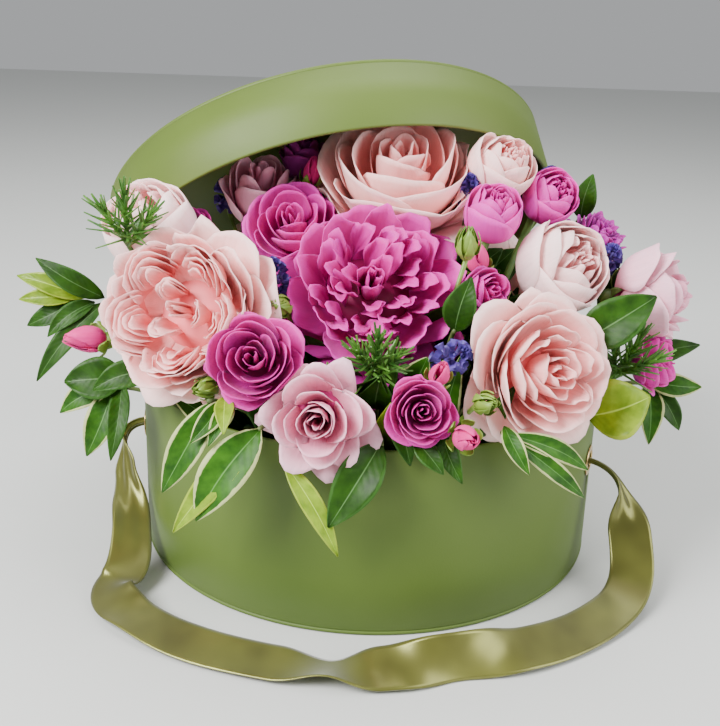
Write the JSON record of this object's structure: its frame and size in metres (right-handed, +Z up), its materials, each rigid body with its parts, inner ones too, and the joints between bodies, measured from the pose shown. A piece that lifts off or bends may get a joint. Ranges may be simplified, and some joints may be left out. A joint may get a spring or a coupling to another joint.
{
  "type": "flower box",
  "caption": "Round board gift box with a satin carrying strap, a lift-off lid leaning on the blooms, and a lined foam insert arranged with garden roses, buds and foliage.",
  "frame": {"origin": "centre of the box's underside, on the table", "axes": "+Z up, -Y towards the front where the strap lies and the blooms face, +X to the right seen from the front"},
  "size_m": [0.407, 0.3943, 0.2925],
  "materials": {
    "box_paper": "matte paper-wrapped board, olive green",
    "lid_paper": "matte paper-wrapped board, light olive green",
    "eyelet_brass": "polished brass",
    "satin": "olive gold satin ribbon",
    "liner_plastic": "matte",
    "wet_foam": "open-cell floral foam, wet",
    "foliage": "fresh leaf, soft sheen",
    "violet_floret": "fresh floret, matte",
    "magenta_petal": "fresh petal, soft sheen",
    "lilac_petal": "fresh petal, soft sheen",
    "blush_petal": "fresh petal, soft sheen"
  },
  "bodies": {
    "box": {"box_base": "box_paper", "box_wall": "box_paper", "eyelet_left": "eyelet_brass", "eyelet_right": "eyelet_brass", "ribbon": "satin"},
    "insert": {"liner": "liner_plastic", "foam": "wet_foam", "carnation_right": "magenta_petal", "globe_back_right": "blush_petal", "globe_left": "blush_petal", "globe_right": "blush_petal", "peony_centre": "magenta_petal", "rose_back_left": "lilac_petal", "rose_crown_rear": "blush_petal", "rose_left": "blush_petal", "rose_lilac": "lilac_petal", "rose_mauve": "lilac_petal", "rose_rear_left": "blush_petal", "rose_rear_mid": "blush_petal", "rose_rear_right": "blush_petal", "rose_right": "blush_petal", "rose_side_left": "blush_petal", "rose_side_right": "blush_petal", "rose_top": "blush_petal", "spray_back_right": "magenta_petal", "spray_far_right": "magenta_petal", "spray_front": "magenta_petal", "spray_front_left": "magenta_petal", "spray_inner_right": "magenta_petal", "spray_low_right": "magenta_petal", "spray_small_left": "magenta_petal", "spray_upper_left": "magenta_petal", "tulip_back": "magenta_petal", "bud_back": "magenta_petal", "bud_front": "magenta_petal", "bud_left": "magenta_petal", "bud_low_right": "magenta_petal", "bud_right": "magenta_petal", "leaf_back_right": "foliage", "leaf_broad_right": "foliage", "leaf_dark_front": "foliage", "leaf_dark_right": "foliage", "leaf_green_front": "foliage", "leaf_inner_right": "foliage", "leaf_lime_long": "foliage", "leaf_small_front": "foliage", "sprig_front_left": "foliage", "sprig_front_right": "foliage", "sprig_left_lower": "foliage", "sprig_left_upper": "foliage", "sprig_right": "foliage", "grape_hyacinths": "violet_floret", "green_buds": "foliage", "rosemary": "foliage"},
    "lid": {"lid_band": "lid_paper", "lid_top": "lid_paper"}
  },
  "joints": [
    {"name": "insert_lift", "type": "slide", "parent": "box", "child": "insert", "axis": [0, 0, 1], "range_m": [0, 0.12]},
    {"name": "lid_lift", "type": "slide", "parent": "insert", "child": "lid", "axis": [-0.2289, 0.5963, 0.7694], "range_m": [0, 0.15]}
  ]
}
